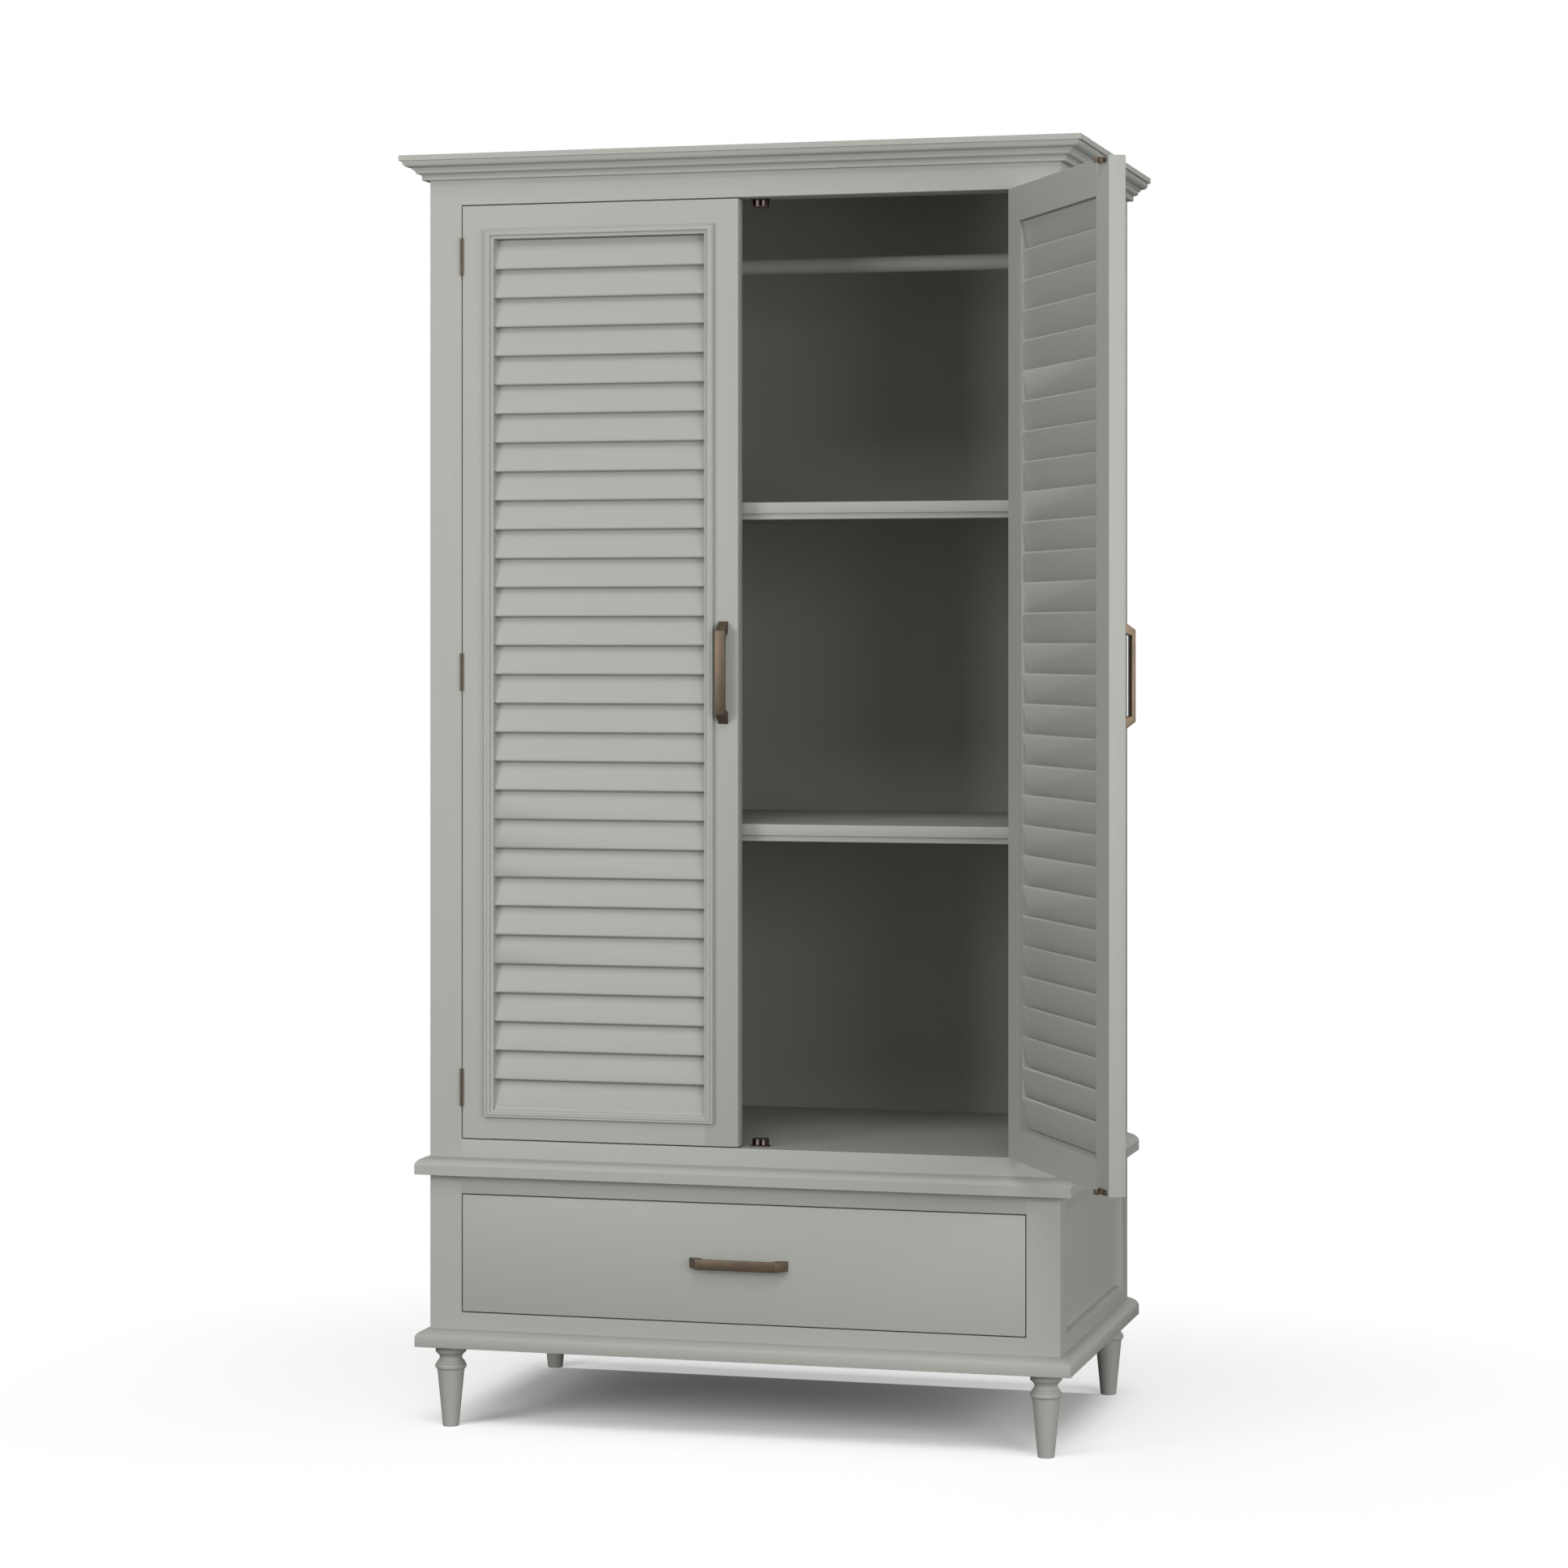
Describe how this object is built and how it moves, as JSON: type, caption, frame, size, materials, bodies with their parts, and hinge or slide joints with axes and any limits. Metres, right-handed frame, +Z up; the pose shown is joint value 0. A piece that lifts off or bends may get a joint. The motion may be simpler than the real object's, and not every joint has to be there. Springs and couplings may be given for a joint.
{
  "type": "louvred door cabinet",
  "caption": "Painted wardrobe with louvred doors on butt hinges over a wide drawer, shelves and a hanging rod inside, moulded cornice and turned legs.",
  "frame": {"origin": "on the floor, midway across the space that the whole cabinet takes with its right door swung open", "axes": "+Z up, -Y out of the cabinet's front, +X to the right as seen from the front"},
  "size_m": [1.3288, 1.0676, 2.1655],
  "materials": {
    "greige_paint": "satin grey-green paint over wood",
    "drawer_wood": "sealed drawer box, pale",
    "aged_bronze": "brushed, darkened bronze"
  },
  "bodies": {
    "carcass": {"face_frame_left_stile": "greige_paint", "face_frame_right_stile": "greige_paint", "face_frame_bottom_rail": "greige_paint", "face_frame_middle_rail": "greige_paint", "face_frame_top_rail": "greige_paint", "left_side": "greige_paint", "right_side": "greige_paint", "base_board": "greige_paint", "top_board": "greige_paint", "back_panel": "greige_paint", "cupboard_floor": "greige_paint", "lower_shelf": "greige_paint", "upper_shelf": "greige_paint", "hanging_rod": "greige_paint", "waist_moulding": "greige_paint", "cornice": "greige_paint", "front_left_leg": "greige_paint", "front_right_leg": "greige_paint", "back_left_leg": "greige_paint", "back_right_leg": "greige_paint", "left_drawer_runner": "drawer_wood", "right_drawer_runner": "drawer_wood", "left_bottom_catch": "aged_bronze", "right_bottom_catch": "aged_bronze", "left_top_catch": "aged_bronze", "right_top_catch": "aged_bronze", "left_bottom_hinge_frame_leaf": "aged_bronze", "left_middle_hinge_frame_leaf": "aged_bronze", "left_top_hinge_frame_leaf": "aged_bronze", "right_bottom_hinge_frame_leaf": "aged_bronze", "right_middle_hinge_frame_leaf": "aged_bronze", "right_top_hinge_frame_leaf": "aged_bronze"},
    "drawer": {"drawer_front": "greige_paint", "drawer_left_side": "drawer_wood", "drawer_right_side": "drawer_wood", "drawer_back": "drawer_wood", "drawer_bottom": "drawer_wood", "drawer_pull": "aged_bronze"},
    "left_door": {"left_door_louvred_hinge_stile": "greige_paint", "left_door_lock_stile": "greige_paint", "left_door_top_rail": "greige_paint", "left_door_bottom_rail": "greige_paint", "left_door_moulding": "greige_paint", "left_door_pull": "aged_bronze", "left_door_bottom_hinge_leaf": "aged_bronze", "left_door_middle_hinge_leaf": "aged_bronze", "left_door_top_hinge_leaf": "aged_bronze", "left_door_bottom_strike": "aged_bronze", "left_door_top_strike": "aged_bronze"},
    "right_door": {"right_door_louvred_hinge_stile": "greige_paint", "right_door_lock_stile": "greige_paint", "right_door_top_rail": "greige_paint", "right_door_bottom_rail": "greige_paint", "right_door_moulding": "greige_paint", "right_door_pull": "aged_bronze", "right_door_bottom_hinge_leaf": "aged_bronze", "right_door_middle_hinge_leaf": "aged_bronze", "right_door_top_hinge_leaf": "aged_bronze", "right_door_bottom_strike": "aged_bronze", "right_door_top_strike": "aged_bronze"}
  },
  "joints": [
    {"name": "left_door_hinge", "type": "hinge", "parent": "carcass", "child": "left_door", "pos_m": [-0.56479, -0.09687, 1.288], "axis": [0, 0, 1], "range_deg": [-165, 0]},
    {"name": "right_door_hinge", "type": "hinge", "parent": "carcass", "child": "right_door", "pos_m": [0.41221, -0.09687, 1.288], "axis": [0, 0, 1], "range_deg": [-120, 45]},
    {"name": "drawer_slide", "type": "slide", "parent": "carcass", "child": "drawer", "axis": [0, -1, 0], "range_m": [0, 0.4]}
  ]
}
